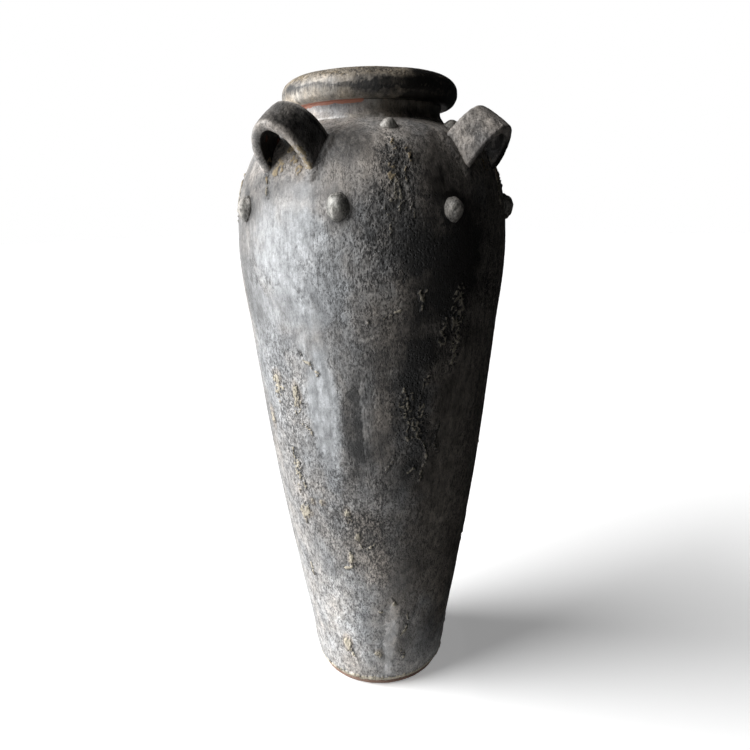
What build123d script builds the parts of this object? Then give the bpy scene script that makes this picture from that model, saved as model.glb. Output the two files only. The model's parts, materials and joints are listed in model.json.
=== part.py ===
import os
from math import radians, cos, sin
from build123d import *

# Overall form of the jar, mm. Origin at the middle of the underside, +Z up.
height = 1000.0
belly_r = 212.6
belly_z = 0.762 * height
foot_r = 105.5
heel_out = 12.5
heel_r = foot_r + heel_out
heel_z = 38.0

# Between heel and belly the wall bows out a little from a straight taper.
taper_low_z = 0.18 * height
taper_low_bow = 3.8
taper_mid_z = 0.40 * height
taper_mid_bow = 9.2
taper_high_z = 0.63 * height
taper_high_bow = 5.5

# The shoulder domes in from the belly to the root of the neck.
neck_rise = 64.0
root_z = height - neck_rise
root_r = 111.0
shoulder_z = root_z - 66.0
shoulder_r = belly_r - 18.6
shoulder_top_z = root_z - 30.0
shoulder_top_r = belly_r - 40.6

# Wall courses, each a ring of clay luted on the one below by a tongue and groove.
wall = 16.0
seam_z = [height * share for share in (0.140, 0.285, 0.428, 0.507, 0.620, 0.733, 0.846)]
tongue_w = 0.44 * wall
tongue_h = 0.25 * wall

# Base slab: a disc under the wall with a raised floor that the first course fits around.
slab_edge = 12.0
floor_rise = 10.0
floor_z = slab_edge + floor_rise
floor_r = foot_r - 1.1 * wall
slab_round = 2.5

# Neck collar, throat and rolled rim.
throat_r = root_r - wall
bead_out = 2.0
bead_r = root_r + bead_out
bead_h = 5.0
waist_in = 2.5
neck_r = root_r - waist_in
roll_r = 23.0
roll_drop = 18.5
rim_out = 23.5
rim_r = root_r + rim_out
mouth_round = 4.0

# Strap handles, bent over an opening that runs down the slope of the shoulder.
handle_count = 4
strap_w = 53.0
strap_t = 14.0
strap_soft = 6.0
strap_out = 26.4
strap_top_r = belly_r + strap_out
strap_top_z = root_z - 17.0
strap_tilt = 37.5
arch_rise = 63.0
arch_half_front = 45.5
arch_spread = 6.0
arch_half_back = arch_half_front + arch_spread
leg_reach = arch_rise + 33.0
handle_seat = 3.0

# Applied pellets: large oval ones below the handles, small round ones under the neck.
pellet_count = 8
pellet_z = 0.811 * height
pellet_len = 38.0
pellet_w = 31.0
pellet_tip = 7.0
pellet_soft = 4.5
pellet_sink = 2.5
button_z = root_z - 15.0
button_r = 10.5
button_sink = 1.5
pellet_seat = 2.0


def at(r, z):
    return Vector(r, 0, z)


def tapered(z, bow):
    # Point on the straight line from heel to belly, bowed outward.
    share = (z - heel_z) / (belly_z - heel_z)
    return at(heel_r + (belly_r - heel_r) * share + bow, z)


# Outline of the outside, from the heel to the root of the neck.
outline = Spline(
    at(heel_r, heel_z),
    tapered(taper_low_z, taper_low_bow),
    tapered(taper_mid_z, taper_mid_bow),
    tapered(taper_high_z, taper_high_bow),
    at(belly_r, belly_z),
    at(shoulder_r, shoulder_z),
    at(shoulder_top_r, shoulder_top_z),
    at(root_r, root_z),
    tangents=[(0.12, 0, 1.0), (-2.6, 0, 1.0)],
)


def outline_share(z):
    # Share of the outline at height z, by halving; the outline only climbs.
    low = 0.0
    high = 1.0
    for step in range(40):
        middle = (low + high) / 2
        if outline.position_at(middle).Z < z:
            low = middle
        else:
            high = middle
    return (low + high) / 2


def inward(share, depth):
    # Point at a depth under the outer face, square to it.
    along = outline.tangent_at(share)
    return outline.position_at(share) + Vector(-along.Z, 0, along.X) * depth


def under_face(depth, count=15):
    return Spline(*[inward(i / (count - 1), depth) for i in range(count)])


def turned(edges):
    return revolve(Face(Wire(edges)), Axis.Z)


def closed(points):
    edges = [Line(a, b) for a, b in zip(points, points[1:])]
    return edges + [Line(points[-1], points[0])]


heel = TangentArc(at(heel_r, heel_z), at(foot_r, slab_edge), tangent=-outline.tangent_at(0))
inside = under_face(wall)
inside_low = inside.position_at(0)
inside_top = inside.position_at(1)
rise = inside.tangent_at(1)
throat_low = at(throat_r, inside_top.Z + (inside_top.X - throat_r) * rise.Z / -rise.X)

# The whole wall from slab to neck root, before it is parted into courses.
body = turned([
    Line(at(floor_r, slab_edge), at(foot_r, slab_edge)),
    heel,
    outline,
    Line(at(root_r, root_z), at(throat_r, root_z)),
    Line(at(throat_r, root_z), throat_low),
    Line(throat_low, inside_top),
    inside,
    Line(inside_low, at(floor_r, floor_z)),
    Line(at(floor_r, floor_z), at(floor_r, slab_edge)),
])


def solid_under(depth):
    # Everything inside a face lying at a depth under the outside of the body.
    face = under_face(depth)
    top = face.position_at(1)
    low = face.position_at(0)
    return turned([
        Line(at(0, low.Z), low),
        face,
        Line(top, at(0, top.Z)),
        Line(at(0, top.Z), at(0, low.Z)),
    ])


def seam(z):
    # Joint between two courses: a tongue in the middle of the wall, pointing up.
    share = outline_share(z)
    middle = inward(share, wall / 2).X
    return [
        at(0, z),
        at(middle - tongue_w / 2, z),
        at(middle, z + tongue_h),
        at(middle + tongue_w / 2, z),
        at(belly_r + wall, z),
    ]


def neck_seam(z, outer):
    middle = (throat_r + outer) / 2
    return [
        at(throat_r, z),
        at(middle - tongue_w / 2, z),
        at(middle, z + tongue_h),
        at(middle + tongue_w / 2, z),
        at(outer, z),
    ]


floor_line = [at(0, slab_edge), at(belly_r + wall, slab_edge)]
joints = [floor_line] + [seam(z) for z in seam_z]
courses = []
for low, high in zip(joints, joints[1:]):
    courses.append(body & turned(closed(low + high[::-1])))

# The shoulder's top carries a tongue for the neck.
neck_foot = neck_seam(root_z, root_r)
shoulder = body & turned(closed(joints[-1] + [at(belly_r + wall, height), at(0, height)]))
shoulder = shoulder + turned(closed(neck_foot[1:4]))

slab = turned(closed([
    at(0, 0),
    at(foot_r, 0),
    at(foot_r, slab_edge),
    at(floor_r, slab_edge),
    at(floor_r, floor_z),
    at(0, floor_z),
]))
slab = fillet(slab.edges().group_by(Axis.Z)[0], slab_round)

# Neck collar with a bead at its foot and a hollow waist.
roll_z = height - roll_r
roll_low = roll_z - roll_drop
roll_mid_r = rim_r - roll_r
neck_head = neck_seam(roll_low, root_r)
bead_top = at(neck_r + 1.5, root_z + bead_h)
collar = turned(
    [Line(a, b) for a, b in zip(neck_foot, neck_foot[1:])]
    + [
        Line(neck_foot[-1], at(bead_r - 1.5, root_z)),
        ThreePointArc(at(bead_r - 1.5, root_z), at(bead_r, root_z + bead_h / 2), bead_top),
        ThreePointArc(bead_top, at(neck_r, (root_z + bead_h + roll_low) / 2), neck_head[-1]),
    ]
    + [Line(a, b) for a, b in zip(neck_head[::-1], neck_head[-2::-1])]
    + [Line(neck_head[0], neck_foot[0])]
)

# Rolled rim, round outside, tucked in sharply below.
edge_r = roll_mid_r + (roll_r ** 2 - roll_drop ** 2) ** 0.5
lip_z = roll_z + (roll_r ** 2 - (roll_mid_r - throat_r) ** 2) ** 0.5
rim = turned(
    [Line(a, b) for a, b in zip(neck_head, neck_head[1:])]
    + [
        Line(neck_head[-1], at(edge_r, roll_low)),
        ThreePointArc(at(edge_r, roll_low), at(roll_mid_r + roll_r, roll_z), at(roll_mid_r, height)),
        ThreePointArc(
            at(roll_mid_r, height),
            at(roll_mid_r - roll_r * sin(radians(24)), roll_z + roll_r * cos(radians(24))),
            at(throat_r, lip_z),
        ),
        Line(at(throat_r, lip_z), neck_head[0]),
    ]
)
lip_edge = [e for e in rim.edges() if abs(e.center(CenterOf.BOUNDING_BOX).Z - lip_z) < 0.01]
rim = fillet(lip_edge, mouth_round)


def arch(half, plane):
    # Outline of the bent strap, seen along its opening.
    inner = half - strap_t
    rise_in = arch_rise - strap_t
    edges = [
        EllipticalCenterArc((0, -arch_rise), half, arch_rise, 0, arc_size=180),
        Line((-half, -arch_rise), (-half, -leg_reach)),
        Line((-half, -leg_reach), (-inner, -leg_reach)),
        Line((-inner, -leg_reach), (-inner, -arch_rise)),
        EllipticalCenterArc((0, -arch_rise), inner, rise_in, 0, arc_size=180),
        Line((inner, -arch_rise), (inner, -leg_reach)),
        Line((inner, -leg_reach), (half, -leg_reach)),
        Line((half, -leg_reach), (half, -arch_rise)),
    ]
    return plane * make_face(edges)


def strap():
    # One handle on the +X side: the outline drawn from its lower face back to its upper face.
    out = Vector(cos(radians(strap_tilt)), 0, -sin(radians(strap_tilt)))
    front_at = at(strap_top_r, strap_top_z)
    front = Plane(front_at, x_dir=(0, 1, 0), z_dir=out)
    back = Plane(front_at - out * strap_w, x_dir=(0, 1, 0), z_dir=out)
    bent = loft([arch(arch_half_front, front).face(), arch(arch_half_back, back).face()])
    rims = [e for e in bent.edges() if e.geom_type != GeomType.LINE]
    return fillet(rims, strap_soft)


def on_face(z, sink):
    # Frame on the outside at height z: local Z outward, local Y up the slope.
    share = outline_share(z)
    along = outline.tangent_at(share)
    return Plane(inward(share, sink), x_dir=(0, 1, 0), z_dir=(along.Z, 0, -along.X))


def pellet():
    # Rounded oval lying up the wall: an arc turned about its own chord, its two ends softened.
    half = pellet_len / 2
    side = ThreePointArc((pellet_tip, -half), (pellet_w / 2, 0), (pellet_tip, half))
    oval = make_face([
        side,
        Line((pellet_tip, half), (0, half)),
        Line((0, half), (0, -half)),
        Line((0, -half), (pellet_tip, -half)),
    ])
    lump = revolve(oval, Axis.Y)
    ends = lump.edges().group_by(Axis.Y)
    lump = fillet(ends[0] + ends[-1], pellet_soft)
    return on_face(pellet_z, pellet_sink) * lump


handle_core = solid_under(handle_seat)
pellet_core = solid_under(pellet_seat)
one_strap = strap() - handle_core
one_pellet = pellet() - pellet_core
one_button = on_face(button_z, button_sink) * Sphere(button_r) - pellet_core

nodes = {"base_slab": slab}
for i, ring in enumerate(courses):
    nodes[f"wall_course_{i + 1}"] = ring
nodes["shoulder"] = shoulder
nodes["neck_collar"] = collar
nodes["rim_roll"] = rim

for i in range(handle_count):
    piece = Rot(0, 0, i * 360 / handle_count) * one_strap
    nodes[f"strap_handle_{i + 1}"] = piece
    nodes["shoulder"] = nodes["shoulder"] - piece

top_course = f"wall_course_{len(courses)}"
for i in range(pellet_count):
    step = 360 / pellet_count
    large = Rot(0, 0, (i + 0.5) * step) * one_pellet
    small = Rot(0, 0, i * step) * one_button
    nodes[f"pellet_{i + 1}"] = large
    nodes[f"button_{i + 1}"] = small
    nodes[top_course] = nodes[top_course] - large
    nodes["shoulder"] = nodes["shoulder"] - small

os.makedirs("parts", exist_ok=True)
for name, piece in nodes.items():
    export_step(piece, f"parts/{name}.step")
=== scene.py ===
import bpy
import json
import math
import random
import numpy as np
from mathutils import Matrix, Vector, noise

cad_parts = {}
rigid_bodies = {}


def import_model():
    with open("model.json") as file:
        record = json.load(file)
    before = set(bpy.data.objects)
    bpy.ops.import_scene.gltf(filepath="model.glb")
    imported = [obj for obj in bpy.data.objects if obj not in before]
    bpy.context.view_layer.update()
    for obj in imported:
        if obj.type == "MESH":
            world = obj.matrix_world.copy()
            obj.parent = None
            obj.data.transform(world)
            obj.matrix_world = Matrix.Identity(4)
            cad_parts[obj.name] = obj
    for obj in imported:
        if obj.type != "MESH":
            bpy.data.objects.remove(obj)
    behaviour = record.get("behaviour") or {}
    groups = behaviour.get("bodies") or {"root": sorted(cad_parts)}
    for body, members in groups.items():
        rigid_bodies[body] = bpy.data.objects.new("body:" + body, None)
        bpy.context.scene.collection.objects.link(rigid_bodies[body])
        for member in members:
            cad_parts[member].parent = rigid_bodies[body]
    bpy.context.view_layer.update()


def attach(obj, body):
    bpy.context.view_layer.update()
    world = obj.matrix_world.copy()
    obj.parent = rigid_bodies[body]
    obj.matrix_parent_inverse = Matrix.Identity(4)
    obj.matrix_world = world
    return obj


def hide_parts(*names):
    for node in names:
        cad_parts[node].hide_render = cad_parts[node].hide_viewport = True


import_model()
print("frame loaded")
coarse = 1


# Moves used on every piece

def letGo():  # object mode, nothing selected
    if bpy.context.object and bpy.context.object.mode != "OBJECT":
        bpy.ops.object.mode_set(mode="OBJECT")
    bpy.ops.object.select_all(action="DESELECT")


def pick(piece):
    letGo()
    piece.select_set(True)
    bpy.context.view_layer.objects.active = piece


def editing(piece, kind="VERT"):
    pick(piece)
    bpy.context.tool_settings.mesh_select_mode = (kind == "VERT", kind == "EDGE", kind == "FACE")
    bpy.ops.object.mode_set(mode="EDIT")


def doneEditing():
    bpy.ops.object.mode_set(mode="OBJECT")


def settle(piece):  # place goes into the mesh, object sits at the origin
    pick(piece)
    bpy.ops.object.transform_apply(location=True, rotation=True, scale=True)


def applyAll(piece):
    pick(piece)
    for mod in list(piece.modifiers):
        bpy.ops.object.modifier_apply(modifier=mod.name)


def subdivided(piece, levels):
    mod = piece.modifiers.new("smooth", "SUBSURF")
    mod.levels = levels
    mod.render_levels = levels
    applyAll(piece)


def pointsOf(piece):
    co = np.zeros(len(piece.data.vertices) * 3)
    piece.data.vertices.foreach_get("co", co)
    return co.reshape(-1, 3)


def putPoints(piece, co):
    piece.data.vertices.foreach_set("co", co.ravel())
    piece.data.update()


def faceCentres(piece):
    mid = np.zeros(len(piece.data.polygons) * 3)
    piece.data.polygons.foreach_get("center", mid)
    return mid.reshape(-1, 3)


def chosenOnly(piece, verts=None, edges=None, faces=None):  # selection by true/false lists, object mode
    mesh = piece.data
    for items, on in ((mesh.vertices, verts), (mesh.edges, edges), (mesh.polygons, faces)):
        items.foreach_set("select", np.zeros(len(items), bool) if on is None else on)


def outwards(piece):
    editing(piece)
    bpy.ops.mesh.select_all(action="SELECT")
    bpy.ops.mesh.remove_doubles(threshold=0.00001)
    bpy.ops.mesh.normals_make_consistent(inside=False)
    doneEditing()


def smoothShade(piece, degrees):
    pick(piece)
    bpy.ops.object.shade_smooth_by_angle(angle=math.radians(degrees))


def drawProfile(name, knots, spacing, corners=(), closed=False):  # smooth line through knots, in even steps
    letGo()
    bpy.ops.curve.primitive_bezier_curve_add(location=(0, 0, 0))
    curve = bpy.context.object
    curve.data.dimensions = "3D"
    curve.data.resolution_u = 40
    spline = curve.data.splines[0]
    spline.bezier_points.add(len(knots) - 2)
    spline.use_cyclic_u = closed
    for knot, (r, z) in zip(spline.bezier_points, knots):
        knot.co = (r, 0, z)
    for i, knot in enumerate(spline.bezier_points):
        kind = "VECTOR" if i in corners else "AUTO"
        knot.handle_left_type = kind
        knot.handle_right_type = kind
    bpy.ops.object.convert(target="MESH")
    line = bpy.context.object
    line.name = name
    co = pointsOf(line)
    if closed:
        co = np.vstack([co, co[:1]])
    along = np.concatenate([[0], np.cumsum(np.linalg.norm(np.diff(co, axis=0), axis=1))])
    count = max(3, round(along[-1] / spacing))
    even = np.linspace(0, along[-1], count + 1)
    spaced = np.stack([np.interp(even, along, co[:, k]) for k in range(3)], axis=1)
    links = [(i, i + 1) for i in range(count)]
    if closed:
        spaced = spaced[:-1]
        links[-1] = (count - 1, 0)
    mesh = bpy.data.meshes.new(name)
    mesh.from_pydata(spaced.tolist(), links, [])
    line.data = mesh
    return line


def lathe(name, knots, spacing, steps, corners=(), closed=False):
    piece = drawProfile(name, knots, spacing, corners, closed)
    mod = piece.modifiers.new("turned", "SCREW")
    mod.angle = math.tau
    mod.steps = steps
    mod.render_steps = steps
    mod.use_merge_vertices = True
    applyAll(piece)
    outwards(piece)
    return piece


def cutLevel(piece, heights):  # rows of points exactly at these heights
    editing(piece)
    for z in heights:
        bpy.ops.mesh.select_all(action="SELECT")
        bpy.ops.mesh.bisect(plane_co=(0, 0, z), plane_no=(0, 0, 1))
    doneEditing()


def closeRing(piece, low):  # joins the outer and inner open loops at the top or bottom of a ring
    mesh = piece.data
    sides = np.zeros(len(mesh.loops), int)
    mesh.loops.foreach_get("edge_index", sides)
    ends = np.zeros(len(mesh.edges) * 2, int)
    mesh.edges.foreach_get("vertices", ends)
    z = pointsOf(piece)[:, 2]
    height = z[ends.reshape(-1, 2)].mean(1)
    middle = (z.min() + z.max()) / 2
    openEdges = np.bincount(sides, minlength=len(mesh.edges)) == 1
    chosenOnly(piece, edges=openEdges & ((height < middle) if low else (height > middle)))
    editing(piece, "EDGE")
    bpy.ops.mesh.bridge_edge_loops()
    doneEditing()


def weightGroup(piece, name, weights):  # painted weights, in twenty steps
    group = piece.vertex_groups.new(name=name)
    steps = np.clip(np.round(weights * 20), 0, 20).astype(int)
    for step in range(1, 21):
        where = np.nonzero(steps == step)[0]
        if len(where):
            group.add(where.tolist(), step / 20, "REPLACE")


def clouds(size):
    name = "clouds%d" % round(size * 1e5)
    tex = bpy.data.textures.get(name) or bpy.data.textures.new(name, "CLOUDS")
    tex.noise_scale = size
    tex.noise_depth = 2
    tex.noise_basis = "IMPROVED_PERLIN"
    return tex


def push(piece, amount, size=None, group=""):  # displace along the normal, evenly or by clouds of a size
    mod = piece.modifiers.new("push", "DISPLACE")
    mod.strength = amount
    mod.mid_level = 0.5 if size else 0.0
    mod.texture_coords = "LOCAL"
    mod.texture = clouds(size) if size else None
    mod.vertex_group = group


def handMade(piece, sizes):  # uneven as clay shaped by hand: how much, and how wide each swell is
    for kind in ("wobble", "dents", "grit"):
        push(piece, *sizes[kind])
    applyAll(piece)


def cloudsAt(co, size, octaves=3, shift=0.0):  # -1 to 1, read in code
    away = Vector((shift, -shift, 2 * shift))
    return np.array([noise.fractal(Vector(p) / size + away, 0.9, 2.1, octaves) for p in co.tolist()])


def easeStep(low, high, x):
    t = np.clip((x - low) / (high - low), 0, 1)
    return t * t * (3 - 2 * t)


def band(x, middle, half):  # 1 in the middle, fading both ways
    return np.exp(-((x - middle) / half) ** 2)


def roundTurn(degrees):  # into -180 to 180
    return (degrees + 180) % 360 - 180


def turnOf(co):  # degrees round from the handle on -Y towards +X
    return np.degrees(np.arctan2(co[:, 0], -co[:, 1]))


markNames = ["crust", "burnish", "bare", "tone", "rough", "warm"]
windowSide = {"litSideShade": 0.75, "from": (26, 62), "to": (125, 170)}  # painted shade on the side that faces the key light: how dark, and the turns where it fades in and out, in degrees round from the front, leftwards


def windowSideShade(co):  # painted shade: the side that faces the key light, out of the camera's sight, is darkened so that it is not bleached
    leftwards = -turnOf(co)
    inside = easeStep(*windowSide["from"], leftwards) * (1 - easeStep(*windowSide["to"], leftwards))
    return windowSide["litSideShade"] * inside


def paintMarks(piece, **marks):  # one number a point for each finish that the clay reads
    litSideShade = windowSideShade(pointsOf(piece))
    # the painted shade of the lit side is taken off the tone of every piece
    marks["tone"] = marks["tone"] - litSideShade
    for name in markNames:
        layer = piece.data.attributes.new(name, "FLOAT", "POINT")
        values = np.broadcast_to(marks.get(name, 0.0), len(litSideShade))
        layer.data.foreach_set("value", values.astype(np.float32))


class Skin:  # where each point lies, degrees round, mm up and mm out, with clouds to break up edges
    def __init__(self, piece):
        co = pointsOf(piece)
        self.turn = turnOf(co)
        self.up = co[:, 2] * 1000
        self.out = np.hypot(co[:, 0], co[:, 1]) * 1000
        self.wander = cloudsAt(co, 0.012, 3)
        self.wanderUp = cloudsAt(co, 0.012, 3, 5.3)
        self.ragged = cloudsAt(co, 0.006, 3, 9.1)
        self.crumb = cloudsAt(co, 0.0042, 2, 13.1)
        self.blot = cloudsAt(co, 0.05, 4, 2.7)

    def aside(self, turn):  # degrees away from a turn, either way
        return np.abs(roundTurn(self.turn - turn))

    def line(self, route, width, waver=3.0):  # 1 along a drawn line of (turn, height), ragged at its edges
        mask = np.zeros(len(self.turn))
        for (t0, h0), (t1, h1) in zip(route, route[1:]):
            reach = 4 * width + 30
            gap = roundTurn(self.turn - t0)
            size = np.radians(1) * self.out
            near = np.nonzero((np.abs(gap * size) < reach + abs(t1 - t0) * size)
                              & (self.up > min(h0, h1) - reach) & (self.up < max(h0, h1) + reach))[0]
            if not len(near):
                continue
            x = gap[near] * size[near] + waver * self.wander[near]
            y = self.up[near] - h0 + waver * self.wanderUp[near]
            ex = (t1 - t0) * size[near].mean()
            ey = h1 - h0
            s = np.clip((x * ex + y * ey) / (ex * ex + ey * ey + 1e-9), 0, 1)
            far = np.hypot(x - s * ex, y - s * ey) / (width * (1 + 0.5 * self.ragged[near]))
            mask[near] = np.maximum(mask[near], 1 - easeStep(0.35, 1.0, far))
        return mask

    def patch(self, turn, up, wide, tall, edge=0.5):  # soft-edged patch, half sizes in degrees and mm
        far = np.hypot(self.aside(turn) / wide, (self.up - up) / tall)
        return 1 - easeStep(1 - edge, 1 + edge, far + 0.45 * self.blot)


# The jar's wall: outside and inside drawn as profiles in metres, parted into the courses

jar = {
    "outside": [(0.1055, 0.0120), (0.1128, 0.0215), (0.1180, 0.0380), (0.1216, 0.0700), (0.1403, 0.1800),
                (0.1745, 0.4000), (0.2009, 0.6300), (0.2118, 0.7250), (0.2126, 0.7750), (0.2068, 0.8300),
                (0.1940, 0.8700), (0.1720, 0.9060), (0.1430, 0.9235), (0.1110, 0.9360)],
    "inside": [(0.0950, 0.9360), (0.0952, 0.9230), (0.1330, 0.9060), (0.1600, 0.8930), (0.1820, 0.8580),
               (0.1940, 0.8150), (0.1966, 0.7700), (0.1850, 0.6300), (0.1585, 0.4000), (0.1244, 0.1800),
               (0.1040, 0.0550), (0.0885, 0.0225), (0.0879, 0.0120)],
    "steps": 640,
    "outsideRow": 0.0022,
    "insideRow": 0.014,
    "seams": [0.140, 0.285, 0.428, 0.507, 0.620, 0.733, 0.846],
    "seamLines": [428, 507, 733],  # joints that show as faint level lines, in mm
    "wobble": (0.0026, 0.22), "dents": (0.0010, 0.035), "pits": (0.0008, 0.005),  # how much, and how wide
    "crust": 0.0022, "smear": 0.0020, "heelCrust": 0.0010, "jointGroove": -0.0005,
    "strays": 70, "seed": 41,
}

# Pale crust that stands proud of the wall: lines of (degrees round, height in mm), with a half width in mm
crustLines = [
    (2.4, [(-10.4, 857), (-9.2, 846), (-8.0, 829)]),
    (1.8, [(50.6, 886), (51.3, 879)]),
    (2.2, [(52.7, 699), (55.2, 689), (56.2, 703)]),
    (2.4, [(55.2, 689), (55.0, 675)]),
    (4.5, [(69.4, 692), (73.7, 677), (72.4, 658), (69.3, 642)]),
    (3.2, [(66.1, 660), (64.8, 640), (63.7, 626)]),
    (3.6, [(72.9, 633), (72.0, 611), (71.1, 588)]),
    (1.8, [(40.5, 666), (43.6, 672), (46.6, 674)]),
    (5.0, [(-16.5, 565), (-14.2, 551), (-11.0, 550)]),
    (3.6, [(-1.9, 554), (-2.3, 530)]),
    (3.0, [(-27.1, 504), (-24.0, 486)]),
    (2.6, [(3.0, 612), (7.5, 597), (11.5, 580)]),
    (2.6, [(0.0, 500), (3.5, 492), (5.0, 484)]),
    (2.0, [(49.3, 485), (54.2, 481), (59.1, 466), (60.1, 445), (58.2, 430), (57.5, 410)]),
    (1.6, [(52.0, 497), (55.0, 489), (58.0, 487)]),
    (1.6, [(50.0, 424), (54.0, 431)]),
    (1.8, [(48.3, 555), (49.4, 537), (49.0, 516)]),
    (3.2, [(-9.5, 452), (-7.5, 430), (-6.0, 405), (-5.0, 390)]),
    (2.8, [(-12.5, 338), (-9.0, 338), (-6.0, 342), (-4.5, 345)]),
    (2.2, [(-9.9, 345), (-9.0, 320)]),
    (3.0, [(19.6, 360), (21.3, 343)]),
    (3.0, [(24.4, 322), (25.2, 310)]),
    (1.6, [(25.2, 310), (26.8, 296), (29.0, 288)]),
    (3.0, [(19.6, 282), (21.0, 268), (20.4, 256), (15.0, 249)]),
    (1.6, [(29.6, 287), (33.0, 304)]),
    (1.5, [(33.7, 657.5), (33.9, 656.5)]),
    (3.2, [(7.6, 98), (10.4, 80), (13.6, 67)]),
    (3.6, [(33.0, 77), (35.4, 70)]),
    (2.8, [(35.3, 169), (37.4, 162)]),
    (2.6, [(45.5, 185), (47.5, 178)]),
    (1.6, [(57.0, 152), (56.0, 126), (53.2, 112)]),
    (2.2, [(53.0, 78), (54.6, 58)]),
    (2.6, [(-14.0, 238), (-11.5, 226), (-13.0, 214)]),
]

# Cracked, darker crust in the middle of the shoulder and down the wall, drawn the same way
veinLines = [
    (3.5, [(45.7, 899), (45.8, 879), (44.1, 860), (45.2, 841), (43.9, 822)]),
    (3.0, [(49.3, 886), (51.3, 873), (48.7, 857), (49.5, 838)]),
    (3.0, [(42.5, 868), (43.5, 852), (46.5, 836), (46.0, 806)]),
    (2.4, [(40.8, 812), (43.0, 795), (42.2, 776)]),
    (2.4, [(50.2, 820), (51.0, 800), (49.0, 786)]),
    (2.0, [(51.0, 560), (51.6, 530), (50.4, 505), (51.0, 480)]),
    (2.0, [(56.0, 545), (55.2, 515), (56.4, 490)]),
    (2.0, [(66.0, 500), (63.5, 476), (66.5, 455)]),
    (2.2, [(44.8, 457), (42.9, 442), (40.2, 431)]),
    (2.0, [(40.5, 398), (38.6, 408), (36.0, 415)]),
]

# Stains, ochre on the shoulder and cream below:
# (degrees round, height in mm, half width in degrees, half height in mm, amount)
stains = [
    (-3.5, 870, 3.0, 13, 0.70), (-4.8, 860, 2.4, 6, 0.8), (3.6, 877, 2.8, 13, 0.74), (0.3, 890, 3.0, 9, 0.7),
    (6.8, 863, 2.0, 10, 0.72), (43.5, 848, 2.0, 14, 0.6), (44.6, 826, 1.2, 8, 0.5), (51.5, 882, 1.2, 7, 0.5),
    (92, 868, 5, 10, 0.5), (182, 868, 6, 12, 0.6), (268, 866, 5, 10, 0.6),
    (-14.1, 562, 2.4, 10, 0.8), (-2.1, 548, 1.8, 13, 0.8), (-25.8, 493, 2.4, 14, 0.7),
    (-0.7, 365, 1.5, 5, 0.7), (5.5, 368, 1.5, 4, 0.7), (19.8, 355, 1.5, 8, 0.75), (-6.1, 342, 3.0, 4.5, 0.75),
    (-9.9, 336, 1.8, 8, 0.8), (25.1, 315, 1.4, 9, 0.8), (19.6, 268, 1.8, 8, 0.8), (9.5, 88, 2.6, 11, 0.85),
    (34.7, 76, 2.4, 6, 0.8),
]

# Scattered crumbs of the same crust: (degrees round, height in mm, half width in degrees, half height in mm)
crumbPatches = [
    (71.5, 665, 4.2, 36), (71, 612, 2.4, 36), (65, 636, 2, 24), (58.7, 566, 2.4, 16), (-15, 548, 4, 26),
    (-2, 534, 2, 30), (9, 80, 2.2, 14), (34, 74, 2.2, 8), (-9, 410, 2.2, 40), (21, 814, 3, 8),
    (-9, 338, 3, 12), (140, 640, 7, 40), (210, 500, 5, 50), (250, 330, 6, 40), (300, 620, 5, 40),
    (180, 864, 7, 16), (265, 866, 7, 16), (120, 260, 5, 30), (-0.7, 365, 1.4, 6), (5.5, 368, 1.4, 6),
    (48.4, 541, 2.0, 22), (57, 522, 2.6, 26), (53, 498, 3.5, 26), (20.4, 350, 2.0, 14), (-7, 345, 5, 14),
    (10, 84, 3, 16), (45.5, 184, 2.5, 8),
]
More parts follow.
